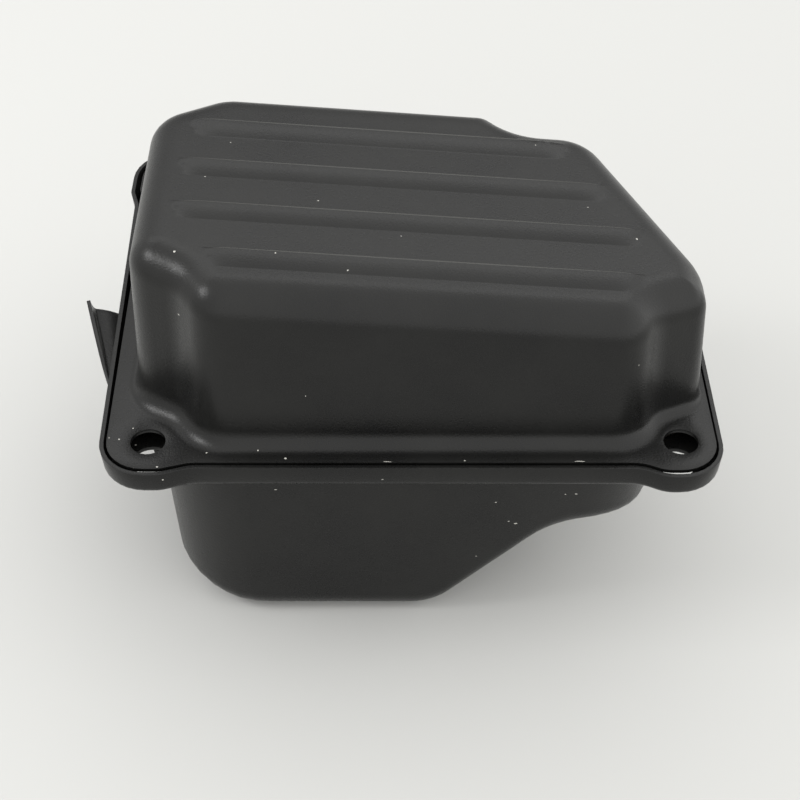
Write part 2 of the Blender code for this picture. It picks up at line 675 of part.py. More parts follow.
def cover_seal(material):
    """Fibre ring under the foot of the cover, on the baffle's edge."""
    low = BAFFLE_TOP + GAP
    high = -SHEET - GAP
    outer = rounded(shrink(BAFFLE, SEAL_EDGES[0]))
    inner = rounded(shrink(BAFFLE, SEAL_EDGES[1]))
    bm = bmesh.new()
    rings = [add_ring(bm, outer, low), add_ring(bm, outer, high),
             add_ring(bm, inner, high), add_ring(bm, inner, low)]
    for first, second in zip(rings, rings[1:] + rings[:1]):
        bridge(bm, first, second)
    to_part_frame(bm)
    return add_object("cover_seal", bm, material)


# ---- fasteners ----------------------------------------------------------------------
def screw(name, x, y, under_head, size, material):
    """Cap screw with a hexagon socket; its head rests at height under_head."""
    shank, head, head_height, length = size
    tip = under_head - length
    top = under_head + head_height
    chamfer = 0.4
    profile = [(0.0, top), (head - chamfer, top), (head, top - chamfer), (head, under_head),
               (shank, under_head), (shank, tip + 0.6), (shank - 0.6, tip), (0.0, tip)]
    body = turned(name, x, y, profile, material)
    socket_floor = top - head_height * 0.55
    boolean(body, cylinder(f"{name}_socket", x, y, socket_floor, top + CUT_PAST, head * 0.5, 6))
    return body


def washer(name, x, y, low, size, material):
    hole, outer, thickness = size
    high = low + thickness
    profile = [(hole, high), (outer, high), (outer, low), (hole, low), (hole, high)]
    return turned(name, x, y, profile, material)


def nut(name, x, y, high, size, shank, material):
    """Hexagon nut whose upper face is at height high."""
    flats, thickness = size
    low = high - thickness
    body = cylinder(name, x, y, low, high, flats / math.sqrt(3), 6, material)
    pierce(body, f"{name}_bore", [(x, y, 2 * (shank + GAP))], low, high, sides=16)
    return body


def build():
    black = make_material("black_heat_paint", BLACK, 0.55, 0.0)
    steel = make_material("plain_steel", STEEL, 0.42, 0.9)
    fibre = make_material("seal_fibre", FIBRE, 0.9, 0.0)
    rear_shell(black)
    cover_shell(black)
    outlet_deflector(black)
    port_doubler(steel)
    inlet_diffuser(steel)
    baffle_plate(steel)
    for side, (x, y) in zip(("left", "right"), TUBES):
        transfer_tube(f"transfer_tube_{side}", x, y, steel)
    cover_seal(fibre)
    outlet_duct(steel)
    for number, (x, y) in enumerate(duct_rivet_places(), start=1):
        duct_rivet(f"duct_rivet_{number}", x, y, steel)
    spark_screen(steel)
    screen_frame(steel)
    screw("screen_screw", *SCREEN_SCREW, FRAME_LOW + SHEET + GAP, SCREW_M4, steel)
    nut("screen_nut", *SCREEN_SCREW, BAFFLE_LOW - GAP, NUT_M4, SCREW_M4[0], steel)
    for side, (x, y, _) in zip(("left", "right"), BACK_HOLES):
        washer(f"washer_{side}", x, y, GAP, WASHER_M5, steel)
        screw(f"cover_screw_{side}", x, y, 2 * GAP + WASHER_M5[2], SCREW_M5, steel)
        nut(f"weld_nut_{side}", x, y, -RIM_DEPTH - GAP, NUT_M5, SCREW_M5[0], steel)


clear_scene()
parts = make_collection(COLLECTION)
cutters = make_collection(CUTTERS)
build()
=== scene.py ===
"""Looks of a petrol saw's muffler box: two pressed shells in satin black heat paint.

Lengths are in millimetres and plan axes: x = 0 midway between the front ears' holes, y = 0 on the
holes, z = 0 at the top of the cover's flange.  place() turns them into the frame's metres.
"""

import math

import bmesh
import bpy
import numpy as np
from mathutils import Matrix, Vector
from mathutils.geometry import delaunay_2d_cdt


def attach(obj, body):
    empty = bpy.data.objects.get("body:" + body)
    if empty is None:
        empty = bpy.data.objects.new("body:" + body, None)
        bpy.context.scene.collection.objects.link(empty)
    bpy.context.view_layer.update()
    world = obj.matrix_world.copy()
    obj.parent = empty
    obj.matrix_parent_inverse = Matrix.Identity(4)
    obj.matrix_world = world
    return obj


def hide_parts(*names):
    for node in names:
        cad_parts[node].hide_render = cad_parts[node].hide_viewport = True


MM = 0.001
SHEET = 0.8                 # thickness of the pressed pieces
FLANGE_Z = 50.0             # top of the cover's flange above the port face
PLAN_CENTRE = (-5.3, 42.3)  # the frame's origin, in plan axes

# ---- outlines: (x, y, corner radius), counter-clockwise ----------------------------------
RIM = [(-58.95, -8.8, 9.0), (-47.3, -8.8, 8.0), (-41.5, -7.0, 8.0), (42.0, -7.1, 8.0),
       (46.5, -9.3, 8.0), (57.9, -9.3, 8.5), (57.35, 31.4, 16.0), (32.5, 80.0, 9.0),
       (19.5, 80.0, 6.0), (15.0, 74.5, 5.0), (-39.0, 74.5, 5.0), (-41.2, 93.9, 9.5),
       (-62.3, 93.9, 10.0), (-62.3, 78.1, 5.0), (-60.9, 73.6, 5.0)]
FLANGE = [(-57.75, -7.1, 7.6), (-47.4, -7.1, 6.8), (-41.75, -5.5, 9.2), (42.2, -5.5, 9.2),
          (46.4, -7.4, 6.8), (56.75, -7.4, 7.3), (56.1, 31.1, 14.8), (31.77, 78.8, 7.8),
          (20.07, 78.8, 4.8), (15.57, 73.3, 6.2), (-40.06, 73.3, 6.2), (-42.4, 92.0, 8.0),
          (-60.4, 92.0, 8.0), (-60.4, 79.0, 4.0), (-59.0, 74.5, 6.0)]
# Foot of the cover's dome on the flange, and the dome's wall just above the foot's fillet
FOOT = [(-55.7, 9.2, 11.5), (-46.6, 4.0, 7.0), (-40.9, -3.7, 11.0), (43.9, -3.6, 10.0),
        (47.6, 4.0, 6.0), (55.8, 8.9, 7.0), (55.8, 21.3, 17.0), (37.3, 62.6, 13.0),
        (22.5, 62.6, 8.6), (16.5, 68.6, 8.6), (-38.3, 68.6, 14.0), (-55.4, 58.6, 13.0)]
WALL = [(-53.2, 12.0, 8.3), (-44.0, 6.9, 8.2), (-38.5, -0.7, 8.3), (41.0, -0.5, 8.3),
        (45.3, 6.1, 7.2), (54.9, 10.6, 5.0), (54.9, 20.2, 16.0), (36.1, 60.9, 11.0),
        (21.6, 60.9, 10.2), (15.6, 66.8, 6.8), (-38.8, 66.8, 12.0), (-53.2, 57.4, 11.0)]
# Walls of the rear shell just below its rim
BODY = [(-51.0, -1.9, 18.1), (49.4, -1.9, 15.2), (47.6, 30.0, 14.0), (31.0, 62.0, 12.0),
        (-50.0, 66.0, 14.0)]

# Holes of the ears: (x, y, diameter)
FRONT_HOLES = [(-50.0, 0.0, 6.6), (50.0, 0.0, 6.6)]
BACK_HOLES = [(-51.5, 82.0, 5.5), (26.0, 71.2, 5.5)]
REAR_HOLES = [(-49.8, -0.6, 7.4), (49.5, -1.1, 7.4)]  # below the cover's front holes

# ---- how finely the surfaces are cut ------------------------------------------------------
LEAST_RADIUS = 0.3          # of an outline's corner
ARC_STEPS = 8               # pieces of each rounded corner of an outline
RUN_LENGTH = 1.6            # straight sides are cut into pieces of about this length
HOLE_SIDES = 48
WALL_STEPS = 8              # rows of faces up a wall
FLOOR_ARC_STEPS = 12
LIP_STEPS = 16
LIP_STATIONS = 24
SMOOTH_ANGLE = 40.0         # degrees; sharper edges stay sharp
ROUNDED_ANGLE = 50.0        # degrees; sharper edges get EDGE_ROUNDING
EDGE_ROUNDING = 0.16        # on the cut edges of the sheets

# ---- heights and radii --------------------------------------------------------------------
RIM_DEPTH = 5.3
RIM_DRAFT = 0.3             # inward lean of the rim
RIM_BOTTOM_RADIUS = 1.6
COVER_TOP_RADIUS = 6.5
COVER_DRAFT = 1.1           # inward lean of the cover's wall, fillet to top
COVER_TOP_Z = 32.1          # cover's top above its flange at x = 0
COVER_SLOPE = 0.080         # the top falls this much per mm towards +X
WALL_TOP = COVER_TOP_Z - COVER_TOP_RADIUS
# Ribs on the cover: y of the middle, x from, x to, width, height
RIBS = [(11.6, -38.2, 41.6, 5.2, 0.80), (24.9, -45.1, 43.1, 5.2, 0.80),
        (38.2, -45.1, 37.6, 5.4, 0.85), (51.5, -44.0, 31.0, 5.6, 0.75)]
RIB_END = 6.0               # length of a rib's rounded end
RIB_CREST = 0.14            # share of a rib's width where it is highest, from its back edge
RIB_SKEW = 2.2              # its back edge starts this much further out than its front edge
RIB_HIGHLIGHT_WIDTH = 0.55             # width of the painted highlight line along its crest
RIB_HIGHLIGHT_ENDS = 4.0         # the painted highlight line is this much shorter than the rib
# Rows of the top's grid, either side of a rib's middle: close together on its steep back edge
RIB_ROWS = (0.0, 0.5, 1.0, 1.5, 1.8, 1.95, 2.1, 2.25, 2.4, 2.5, 2.6, 2.7, 2.8, 3.1, 3.6, 4.4, 5.3,
            6.3)
TOP_CLEARANCE = 0.6         # between that grid and the top's edge

BODY_THROAT_RADIUS = 1.6    # between the rim and the walls
BODY_DRAFT = 1.6
BODY_FLOOR_RADIUS = 5.9
# Underside of the rear shell across X: (x, depth below the flange's top, corner radius)
FLOOR = [(-60.0, 42.4, 0.0), (-33.4, 50.0, 37.0), (3.9, 50.0, 10.5), (31.0, 21.6, 19.0),
         (60.0, 30.0, 0.0)]
THROAT = -RIM_DEPTH - BODY_THROAT_RADIUS
WALL_FOOT = -FLANGE_Z + BODY_FLOOR_RADIUS

PORT = (-16.2, 31.7, 20.0, 25.0)   # inlet port: x, y, width, length
PORT_CORNER = 6.0
PORT_BOLT_REACH = 19.5             # port bolt holes, either side of the port's middle
PORT_BOLT_HOLE = 6.6
OUTLET = (13.0, 41.0, 9.0, 19.0)   # hole in the left wall: y from, y to, depth from, depth to
OUTLET_CUT = (-56.0, -42.0)        # x range of its cutter

LIP_FRONT_Y = 15.0                 # front end of the deflector
LIP_TIP = (-66.7, 46.6)            # its back outer corner
LIP_RUN = 0.287                    # the lip comes in this much per mm towards the front
LIP_DEPTH = 6.9                    # lip below the flange's top
LIP_CURL = 2.4                     # the lip's edge rises this much at the back
LIP_BENDS = ((-2.0, 6.0), (7.0, -0.6))  # handles of its curve, at the root and at the lip
LIP_HEM = ((0.4, 0.12), (0.7, 0.38), (0.9, 0.70), (1.0, 1.0))  # curl: out, share of the rise
WELD_DEPTHS = (21.0, 27.0)         # the deflector's welded foot on the left wall
WELD_CLEARANCE = 0.4

# ---- paint and metal ----------------------------------------------------------------------
PAINT_DARK = (0.0045, 0.0045, 0.0045)
PAINT_DUSTY = (0.0085, 0.0085, 0.0080)
# Colour of the painted highlight along the ribs' crests
PAINT_CREST_HIGHLIGHT = (0.045, 0.045, 0.042)
PAINT_CHIPPED = (0.42, 0.41, 0.38)
PAINT_ROUGHNESS = (0.24, 0.32)
PAINT_DUST_ROUGHNESS = 0.04        # added where it is dusty
PAINT_SPECULAR = 0.27
PAINT_GRAIN = 0.00004              # metres
SOOTY_STEEL = (0.26, 0.225, 0.19)
MESH_STEEL = (0.44, 0.42, 0.38)
ZINC = (0.60, 0.60, 0.58)
STEEL_GRAIN = 0.00003
FIBRE_DARK = (0.16, 0.155, 0.145)
FIBRE_LIGHT = (0.34, 0.33, 0.31)
FIBRE_GRAIN = 0.0001
FLOOR_COLOUR = (0.47, 0.47, 0.46)

# Pale chips in the paint: x, y, length along x, width, on faces that look up
CHIPS_ABOVE = [(-53.2, 3.6, 0.4, 0.4), (-55.5, 0.6, 0.4, 0.4), (-57.4, 1.0, 0.3, 0.3),
               (-58.4, 10.5, 0.5, 0.5), (-52.0, -7.0, 0.5, 0.4), (-47.6, -6.6, 0.5, 0.4),
               (-38.8, -3.0, 0.5, 0.4), (-29.2, -2.6, 0.3, 0.3), (-24.0, -4.4, 0.6, 0.6),
               (-5.0, -5.3, 2.0, 0.2), (9.3, -5.0, 0.5, 0.3), (30.6, -5.2, 2.6, 0.2),
               (-43.0, 12.8, 0.6, 0.5), (-25.0, 12.8, 0.4, 0.4), (-28.5, 13.6, 0.7, 0.2),
               (-12.0, 9.8, 0.4, 0.4), (-35.5, 47.0, 0.3, 0.3), (-39.5, 35.4, 0.5, 0.2),
               (-18.0, 30.1, 0.4, 0.3), (9.4, 13.8, 0.4, 0.3), (41.4, 24.4, 0.5, 0.5),
               (24.0, 52.0, 0.3, 0.3), (-2.5, 21.0, 0.3, 0.3), (33.0, 33.5, 0.3, 0.3)]
# x, z, length along x, width, on faces that look to the front
CHIPS_FRONT = [(-46.5, -1.6, 0.5, 0.5), (-42.5, 25.8, 0.4, 0.4), (-26.5, -11.3, 0.7, 0.3),
               (20.0, -22.0, 0.9, 0.4), (18.6, -21.2, 0.4, 0.3), (15.8, -15.2, 0.5, 0.3),
               (29.2, -13.2, 0.4, 0.4), (31.2, -13.2, 0.6, 0.4), (12.6, -32.0, 0.4, 0.3),
               (-6.0, -3.2, 0.5, 0.2), (40.5, 18.0, 0.3, 0.3), (-20.0, 12.0, 0.3, 0.3)]
CHIP_SHRINK = 1.3           # the chips are drawn this many times smaller than listed
CHIP_WARP = 0.35            # how ragged the chips are
CHIP_RAGGEDNESS = 1800.0    # and how finely
HIGHLIGHT_ABOVE = 70.0           # only the cover's top gets the painted crest highlight, higher than this above the port face

# ---- camera, floor and light --------------------------------------------------------------
CAMERA_PLAN = (-2.72, -221.90, 221.34)
CAMERA_TILT = 46.5          # degrees from straight down
CAMERA_LENS = 75.15
FLOOR_HALF = 1.5            # metres
SKY_COLOUR = (1.0, 1.0, 0.985)
SKY_FRONT = 1.62            # brightness of the studio's surroundings in front
SKY_BACK = 0.40             # and low down behind the object
SKY_FADE = (0.55, 1.0)      # the direction's Y between which it falls from one to the other
SKY_LEFT = 0.70             # factor on the far left
SKY_RIGHT = 1.35            # and on the far right
# Lamps: place and target in the frame's metres, size in metres, watts
KEY = ((-0.48, -0.12, 0.50), (0.0, 0.0, 0.02), (0.22, 0.22), 1.5)
STRIP = ((-0.05, 0.44, 0.58), (0.0, 0.0, 0.05), (0.90, 0.22), 0.80)

# ---- names of CAD nodes -------------------------------------------------------------------
COVER_NODE = "cover_shell"
REAR_NODE = "rear_shell"
DEFLECTOR_NODE = "outlet_deflector"
FASTENERS = ("cover_screw", "screen_screw", "screen_nut", "washer", "weld_nut")


def place(x, y, z=0.0):
    """A plan point in millimetres as a point of the frame in metres."""
    return Vector((x - PLAN_CENTRE[0], y - PLAN_CENTRE[1], z + FLANGE_Z)) * MM


# ---- outlines and rings -------------------------------------------------------------------
def shrink(corners, inset):
    """Corner list moved inward by inset, with its radii following."""
    points = [Vector((x, y)) for x, y, _ in corners]
    count = len(points)
    runs = [(points[(i + 1) % count] - points[i]).normalized() for i in range(count)]
    normals = [Vector((-run.y, run.x)) for run in runs]
    moved = []
    for i in range(count):
        turn = runs[i - 1].cross(runs[i])
        shift = (normals[i - 1] + normals[i]) / (1.0 + normals[i - 1].dot(normals[i]))
        corner = points[i] + shift * inset
        radius = corners[i][2] - inset * math.copysign(1.0, turn)
        moved.append((corner.x, corner.y, max(radius, LEAST_RADIUS)))
    return moved


def run_counts(corners):
    """How many pieces each side of an outline is cut into."""
    counts = []
    for here, after in zip(corners, corners[1:] + corners[:1]):
        length = math.dist(here[:2], after[:2])
        counts.append(max(1, round(length / RUN_LENGTH)))
    return counts


def rounded(corners, counts=None):
    """Points of a closed outline: arcs at the corners, counts pieces along the sides."""
    points = [Vector((x, y)) for x, y, _ in corners]
    count = len(points)
    arcs = []
    for i, (_, _, radius) in enumerate(corners):
        before = (points[i] - points[i - 1]).normalized()
        after = (points[(i + 1) % count] - points[i]).normalized()
        turn = math.atan2(before.cross(after), before.dot(after))
        tangent = radius * math.tan(abs(turn) / 2)
        start = points[i] - before * tangent
        centre = start + Vector((-before.y, before.x)) * math.copysign(radius, turn)
        spoke = start - centre
        arcs.append([centre + Matrix.Rotation(turn * k / ARC_STEPS, 2) @ spoke
                     for k in range(ARC_STEPS + 1)])
    outline = []
    for i, arc in enumerate(arcs):
        outline += arc
        follower = arcs[(i + 1) % count][0]
        pieces = counts[i] if counts else 1
        outline += [arc[-1].lerp(follower, k / pieces) for k in range(1, pieces)]
    return outline


def circle(x, y, diameter):
    angles = [2 * math.pi * k / HOLE_SIDES for k in range(HOLE_SIDES)]
    return [Vector((x + diameter / 2 * math.cos(a), y + diameter / 2 * math.sin(a)))
            for a in angles]


def add_ring(bm, outline, z=0.0):
    return [bm.verts.new((point.x, point.y, z)) for point in outline]


def bridge(bm, lower, upper):
    for i in range(len(lower)):
        j = (i + 1) % len(lower)
        bm.faces.new((lower[i], lower[j], upper[j], upper[i]))


def fill(bm, loops, points=()):
    """Triangles between the first ring of verts and the rings inside it, through inner points."""
    verts = [vert for loop in loops for vert in loop]
    verts += [bm.verts.new(point) for point in points]
    edges = []
    start = 0
    for loop in loops:
        edges += [(start + i, start + (i + 1) % len(loop)) for i in range(len(loop))]
        start += len(loop)
    flat = [vert.co.xy for vert in verts]
    _, _, faces, sources, _, _ = delaunay_2d_cdt(flat, edges, [], 0, 1e-4)
    spots = np.array(flat)
    corners = np.array([[sources[index][0] for index in face] for face in faces])
    middles = spots[corners].mean(axis=1)
    inside = within(middles, spots[np.array(edges)])
    for face, keep in zip(corners, inside):
        if keep:
            bm.faces.new([verts[index] for index in face])


def within(points, segments):
    """Even-odd test of points against closed loops given as segments."""
    x, y = points[:, :1], points[:, 1:]
    x0, y0 = segments[:, 0, 0], segments[:, 0, 1]
    x1, y1 = segments[:, 1, 0], segments[:, 1, 1]
    rise = np.where(y1 == y0, 1e-9, y1 - y0)
    crosses = ((y0 > y) != (y1 > y)) & (x < x0 + (x1 - x0) * (y - y0) / rise)
    return crosses.sum(axis=1) % 2 == 1


def quarter_arc(steps):
    """Angles in radians from 0 to a right angle."""
    return [math.pi / 2 * k / steps for k in range(steps + 1)]


# ---- objects ------------------------------------------------------------------------------
def add_piece(name, bm, up):
    """Object from a plan-millimetre surface whose highest or lowest face looks out."""
    bmesh.ops.recalc_face_normals(bm, faces=bm.faces[:])
    key = max if up else min
    tip = key(bm.faces, key=lambda face: face.calc_center_median().z)
    if (tip.normal.z > 0) != up:
        bmesh.ops.reverse_faces(bm, faces=bm.faces[:])
    for vert in bm.verts:
        vert.co = place(*vert.co)
    mesh = bpy.data.meshes.new(name)
    bm.to_mesh(mesh)
    bm.free()
    obj = bpy.data.objects.new(name, mesh)
    bpy.context.scene.collection.objects.link(obj)
    return obj


def thicken(obj):
    modifier = obj.modifiers.new("sheet", "SOLIDIFY")
    modifier.thickness = SHEET * MM
    modifier.offset = -1.0
    modifier.use_even_offset = True


def round_edges(obj):
    modifier = obj.modifiers.new("edges", "BEVEL")
    modifier.width = EDGE_ROUNDING * MM
    modifier.segments = 2
    modifier.limit_method = "ANGLE"
    modifier.angle_limit = math.radians(ROUNDED_ANGLE)
    modifier.use_clamp_overlap = True


def apply_modifiers(obj):
    depsgraph = bpy.context.evaluated_depsgraph_get()
    mesh = bpy.data.meshes.new_from_object(obj.evaluated_get(depsgraph))
    obj.modifiers.clear()
    obj.data = mesh
    mesh.shade_smooth()
    mesh.set_sharp_from_angle(angle=math.radians(SMOOTH_ANGLE))


# ---- cover --------------------------------------------------------------------------------
def rib_height(x, y):
    """Height of the ribs above the cover's top: steep at the back, sloping to the front."""
    highest = 0.0
    for middle, left, right, width, height in RIBS:
        across = 0.5 - (y - middle) / width
        if not 0.0 < across < 1.0:
            continue
        reach = min(x - left - RIB_SKEW * across, right - RIB_SKEW * across - x)
        if reach <= 0.0:
            continue
        end = math.sqrt(1.0 - (1.0 - min(reach / RIB_END, 1.0)) ** 2)
        if across < RIB_CREST:
            rise = across / RIB_CREST
            section = rise * rise * (3.0 - 2.0 * rise)
        else:
            section = 1.0 - ((across - RIB_CREST) / (1.0 - RIB_CREST)) ** 2
        highest = max(highest, height * section * end)
    return highest


def clear_of(grid, outline, gap):
    """Which grid points lie inside a closed outline and further than gap from it."""
    edge = np.array([(point.x, point.y) for point in outline])
    segments = np.stack([edge, np.roll(edge, -1, axis=0)], axis=1)
    gaps = np.linalg.norm(grid[:, None, :] - edge[None, :, :], axis=2).min(axis=1)
    return within(grid, segments) & (gaps > gap)


def top_points(outline):
    """Grid points of the cover's top, close together where the ribs turn."""
    rows = set()
    for middle, *_ in RIBS:
        for offset in RIB_ROWS:
            rows.update((middle - offset, middle + offset))
    low_y = min(point.y for point in outline)
    high_y = max(point.y for point in outline)
    rows = [y for y in sorted(rows) if low_y < y < high_y]
    grid = np.array([(x, y) for y in rows for x in range(-50, 51)])
    return [(x, y, COVER_TOP_Z) for x, y in grid[clear_of(grid, outline, TOP_CLEARANCE)]]


def dome_rings(bm):
    """The cover's foot fillet, wall and top fillet, and the outline of its top."""
    counts = run_counts(WALL)
    foot = rounded(FOOT, counts)
    wall = rounded(WALL, counts)
    radii = [(low - high).length for low, high in zip(foot, wall)]
    rings = []
    for turn in quarter_arc(8):
        rings.append([bm.verts.new((*low.lerp(high, math.sin(turn)), radius * (1 - math.cos(turn))))
                      for low, high, radius in zip(foot, wall, radii)])
    for k in range(1, WALL_STEPS):
        share = k / WALL_STEPS
        leaning = rounded(shrink(WALL, COVER_DRAFT * share), counts)
        rings.append([bm.verts.new((point.x, point.y, radius + (WALL_TOP - radius) * share))
                      for point, radius in zip(leaning, radii)])
    for turn in quarter_arc(10):
        inset = COVER_DRAFT + COVER_TOP_RADIUS * (1 - math.cos(turn))
        outline = rounded(shrink(WALL, inset), counts)
        rings.append(add_ring(bm, outline, WALL_TOP + COVER_TOP_RADIUS * math.sin(turn)))
    return rings, outline


def make_cover():
    bm = bmesh.new()
    edge = add_ring(bm, rounded(FLANGE, run_counts(FLANGE)))
    rings, top_outline = dome_rings(bm)
    holes = [add_ring(bm, circle(*hole)) for hole in FRONT_HOLES + BACK_HOLES]
    fill(bm, [edge, rings[0], *holes])
    for lower, upper in zip(rings, rings[1:]):
        bridge(bm, lower, upper)
    fill(bm, [rings[-1]], top_points(top_outline))
    for vert in bm.verts:
        reach = max(0.0, min(1.0, vert.co.z / WALL_TOP))
        if vert.co.z > WALL_TOP:
            vert.co.z += rib_height(vert.co.x, vert.co.y)
        vert.co.z -= COVER_SLOPE * vert.co.x * reach
    cover = add_piece("cover", bm, up=True)
    thicken(cover)
    round_edges(cover)
    apply_modifiers(cover)
    return cover


# ---- rear shell ---------------------------------------------------------------------------
def rounded_line(corners):
    """Open line with rounded corners, as (x, depth) pairs."""
    line = [corners[0][:2]]
    for before, here, after in zip(corners, corners[1:], corners[2:]):
        corner = Vector(here[:2])
        run_in = (corner - Vector(before[:2])).normalized()
        run_out = (Vector(after[:2]) - corner).normalized()
        turn = math.atan2(run_in.cross(run_out), run_in.dot(run_out))
        start = corner - run_in * here[2] * math.tan(abs(turn) / 2)
        spoke = Vector((run_in.y, -run_in.x)) * math.copysign(here[2], turn)
        for k in range(FLOOR_ARC_STEPS + 1):
            point = start - spoke + Matrix.Rotation(turn * k / FLOOR_ARC_STEPS, 2) @ spoke
            line.append((point.x, point.y))
    line.append(corners[-1][:2])
    return line


FLOOR_LINE = rounded_line(FLOOR)


def profile_depth(x):
    """Depth of the rear shell's underside below the flange, at x."""
    xs, depths = zip(*FLOOR_LINE)
    return float(np.interp(x, xs, depths))


def floor_points(outline):
    """Grid points of the rear shell's floor, clear of its edge and of the port's holes."""
    columns = [x for x, _ in FLOOR_LINE[1:-1]] + [x * 1.5 for x in range(-30, 31)]
    grid = np.array([(x, y) for x in sorted(columns) for y in range(-2, 64, 2)])
    margin = 0.5
    x, y, width, length = PORT
    keep = np.maximum(abs(grid[:, 0] - x) - width / 2, abs(grid[:, 1] - y) - length / 2) > margin
    for side in (-1, 1):
        bolt = np.hypot(grid[:, 0] - x, grid[:, 1] - y - side * PORT_BOLT_REACH)
        keep &= bolt > PORT_BOLT_HOLE / 2 + margin
    keep &= clear_of(grid, outline, margin)
    return [(x, y, -FLANGE_Z) for x, y in grid[keep]]


def rim_rings(bm):
    """The rear shell's rim from its edge down to its flat bottom."""
    counts = run_counts(RIM)
    rings = [add_ring(bm, rounded(RIM, counts))]
    for turn in quarter_arc(6):
        inset = RIM_DRAFT + RIM_BOTTOM_RADIUS * (1 - math.cos(turn))
        height = -RIM_DEPTH + RIM_BOTTOM_RADIUS * (1 - math.sin(turn))
        rings.append(add_ring(bm, rounded(shrink(RIM, inset), counts), height))
    return rings


def body_rings(bm):
    """The rear shell's throat, walls and floor fillet, and the outline of its flat floor."""
    counts = run_counts(BODY)
    rings = []
    for turn in quarter_arc(6):
        inset = -BODY_THROAT_RADIUS * (1 - math.sin(turn))
        height = -RIM_DEPTH - BODY_THROAT_RADIUS * (1 - math.cos(turn))
        rings.append(add_ring(bm, rounded(shrink(BODY, inset), counts), height))
    for k in range(1, WALL_STEPS):
        share = k / WALL_STEPS
        height = THROAT + (WALL_FOOT - THROAT) * share
        rings.append(add_ring(bm, rounded(shrink(BODY, BODY_DRAFT * share), counts), height))
    for turn in quarter_arc(8):
        inset = BODY_DRAFT + BODY_FLOOR_RADIUS * (1 - math.cos(turn))
        outline = rounded(shrink(BODY, inset), counts)
        rings.append(add_ring(bm, outline, WALL_FOOT - BODY_FLOOR_RADIUS * math.sin(turn)))
    return rings, outline


def port_rings(bm):
    """Edges of the inlet port and of its two bolt holes."""
    x, y, width, length = PORT
    corners = [(x + sx * width / 2, y + sy * length / 2, PORT_CORNER)
               for sx, sy in ((-1, -1), (1, -1), (1, 1), (-1, 1))]
    mouth = add_ring(bm, rounded(corners), -FLANGE_Z)
    bolts = [add_ring(bm, circle(x, y + side * PORT_BOLT_REACH, PORT_BOLT_HOLE), -FLANGE_Z)
             for side in (-1, 1)]
    return [mouth, *bolts]


def make_rear_shell():
    bm = bmesh.new()
    rim = rim_rings(bm)
    body, floor_outline = body_rings(bm)
    ears = [add_ring(bm, circle(*hole), -RIM_DEPTH) for hole in REAR_HOLES + BACK_HOLES]
    for family in (rim, body):
        for upper, lower in zip(family, family[1:]):
            bridge(bm, upper, lower)
    fill(bm, [rim[-1], body[0], *ears])
    fill(bm, [body[-1], *port_rings(bm)], floor_points(floor_outline))
    for vert in bm.verts:
        reach = max(0.0, min(1.0, (THROAT - vert.co.z) / (THROAT - WALL_FOOT)))
        vert.co.z += reach * (FLANGE_Z - profile_depth(vert.co.x))
    shell = add_piece("rear_case", bm, up=False)
    thicken(shell)
    cutter = outlet_cutter()
    modifier = shell.modifiers.new("outlet", "BOOLEAN")
    modifier.object = cutter
    modifier.solver = "EXACT"
    round_edges(shell)
    apply_modifiers(shell)
    bpy.data.objects.remove(cutter, do_unlink=True)
    return shell


def outlet_cutter():
    y0, y1, depth0, depth1 = OUTLET
    low = (OUTLET_CUT[0], y0, -depth1)
    high = (OUTLET_CUT[1], y1, -depth0)
    bm = bmesh.new()
    bmesh.ops.create_cube(bm, size=1.0)
    for vert in bm.verts:
        for axis in range(3):
            vert.co[axis] = high[axis] if vert.co[axis] > 0 else low[axis]
    return add_piece("outlet_cutter", bm, up=True)


# ---- deflector ----------------------------------------------------------------------------
def left_wall_x(depth):
    """Outer face of the rear shell's left wall at a depth below the flange."""
    wall = BODY[0][0]
    foot = profile_depth(wall) - BODY_FLOOR_RADIUS
    return wall + BODY_DRAFT * (depth + THROAT) / (foot + THROAT)


def lip_section(share):
    """Section of the deflector, share of the way from its front to its back end."""
    y = LIP_FRONT_Y + (LIP_TIP[1] - LIP_FRONT_Y) * share
    lip = Vector((LIP_TIP[0] + LIP_RUN * (LIP_TIP[1] - y), -LIP_DEPTH))
    root, weld = [Vector((left_wall_x(depth) - WELD_CLEARANCE, -depth)) for depth in WELD_DEPTHS]
    bend_in = root + Vector(LIP_BENDS[0])
    bend_out = lip + Vector(LIP_BENDS[1])
    section = [weld, weld.lerp(root, 0.5), root]
    for k in range(1, LIP_STEPS + 1):
        t = k / LIP_STEPS
        s = 1 - t
        section.append(root * s ** 3 + bend_in * 3 * s * s * t + bend_out * 3 * s * t * t
                       + lip * t ** 3)
    curl = LIP_CURL * share ** 2
    section += [lip + Vector((-out, rise * curl)) for out, rise in LIP_HEM]
    return [(point.x, y, point.y) for point in section]


def make_deflector():
    """Curved chute under the left flange; its lip runs out and curls up towards the back."""
    bm = bmesh.new()
    rows = [[bm.verts.new(point) for point in lip_section(k / LIP_STATIONS)]
            for k in range(LIP_STATIONS + 1)]
    for near, far in zip(rows, rows[1:]):
        for i in range(len(near) - 1):
            bm.faces.new((near[i], near[i + 1], far[i + 1], far[i]))
    deflector = add_piece("deflector", bm, up=True)
    thicken(deflector)
    round_edges(deflector)
    apply_modifiers(deflector)
    return deflector


# ---- materials ----------------------------------------------------------------------------
def new_material(name):
    material = bpy.data.materials.new(name)
    material.use_nodes = True
    nodes = material.node_tree.nodes
    return material, material.node_tree, nodes["Principled BSDF"]


def object_coordinates(tree):
    return tree.nodes.new("ShaderNodeTexCoord").outputs["Object"]


def separate(tree, vector):
    node = tree.nodes.new("ShaderNodeSeparateXYZ")
    tree.links.new(vector, node.inputs["Vector"])
    return node.outputs


